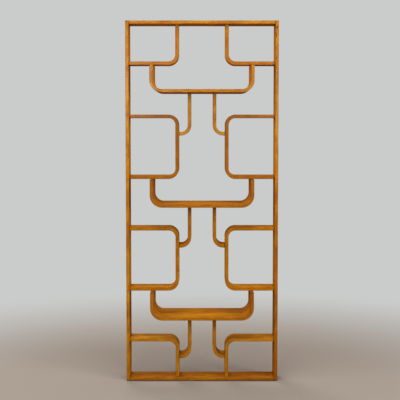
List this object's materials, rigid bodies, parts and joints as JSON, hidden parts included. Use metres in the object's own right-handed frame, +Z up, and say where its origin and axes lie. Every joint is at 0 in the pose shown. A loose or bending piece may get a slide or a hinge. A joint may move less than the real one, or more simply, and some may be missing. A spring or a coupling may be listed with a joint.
{
  "type": "room divider",
  "caption": "Tall open bentwood room divider: a board frame with rounded side brackets, hanging U-shaped shelves and bent stems.",
  "frame": {"origin": "on the floor, in the middle of the frame's width and depth", "axes": "+Z up, +X to the right seen from the front, -Y towards the viewer"},
  "size_m": [0.876, 0.3, 2.08],
  "materials": {
    "frame_wood": "honey-brown stain under satin lacquer, straight grain along each board",
    "bent_wood": "honey-brown stain under satin lacquer, grain that follows the bends, laminated edges",
    "dowel_wood": "bare turned wood, hidden in the joints"
  },
  "bodies": {
    "root": {"bottom_rail": "frame_wood", "left_bottom_rail_dowel_back": "dowel_wood", "left_bottom_rail_dowel_front": "dowel_wood", "left_lower_bracket": "bent_wood", "left_lower_corner": "bent_wood", "left_lower_corner_dowel_back": "dowel_wood", "left_lower_corner_dowel_front": "dowel_wood", "left_lower_shelf_dowel_back": "dowel_wood", "left_lower_shelf_dowel_front": "dowel_wood", "left_lower_stem": "bent_wood", "left_middle_shelf_dowel_back": "dowel_wood", "left_middle_shelf_dowel_front": "dowel_wood", "left_middle_stem": "bent_wood", "left_top_rail_dowel_back": "dowel_wood", "left_top_rail_dowel_front": "dowel_wood", "left_upper_bracket": "bent_wood", "left_upper_corner": "bent_wood", "left_upper_corner_dowel_back": "dowel_wood", "left_upper_corner_dowel_front": "dowel_wood", "left_upper_shelf_dowel_back": "dowel_wood", "left_upper_shelf_dowel_front": "dowel_wood", "left_upper_stem": "bent_wood", "left_upright": "frame_wood", "lower_shelf": "bent_wood", "middle_shelf": "bent_wood", "right_bottom_rail_dowel_back": "dowel_wood", "right_bottom_rail_dowel_front": "dowel_wood", "right_lower_bracket": "bent_wood", "right_lower_corner": "bent_wood", "right_lower_corner_dowel_back": "dowel_wood", "right_lower_corner_dowel_front": "dowel_wood", "right_lower_shelf_dowel_back": "dowel_wood", "right_lower_shelf_dowel_front": "dowel_wood", "right_lower_stem": "bent_wood", "right_middle_shelf_dowel_back": "dowel_wood", "right_middle_shelf_dowel_front": "dowel_wood", "right_middle_stem": "bent_wood", "right_top_rail_dowel_back": "dowel_wood", "right_top_rail_dowel_front": "dowel_wood", "right_upper_bracket": "bent_wood", "right_upper_corner": "bent_wood", "right_upper_corner_dowel_back": "dowel_wood", "right_upper_corner_dowel_front": "dowel_wood", "right_upper_shelf_dowel_back": "dowel_wood", "right_upper_shelf_dowel_front": "dowel_wood", "right_upper_stem": "bent_wood", "right_upright": "frame_wood", "top_rail": "frame_wood", "upper_shelf": "bent_wood"}
  },
  "joints": []
}
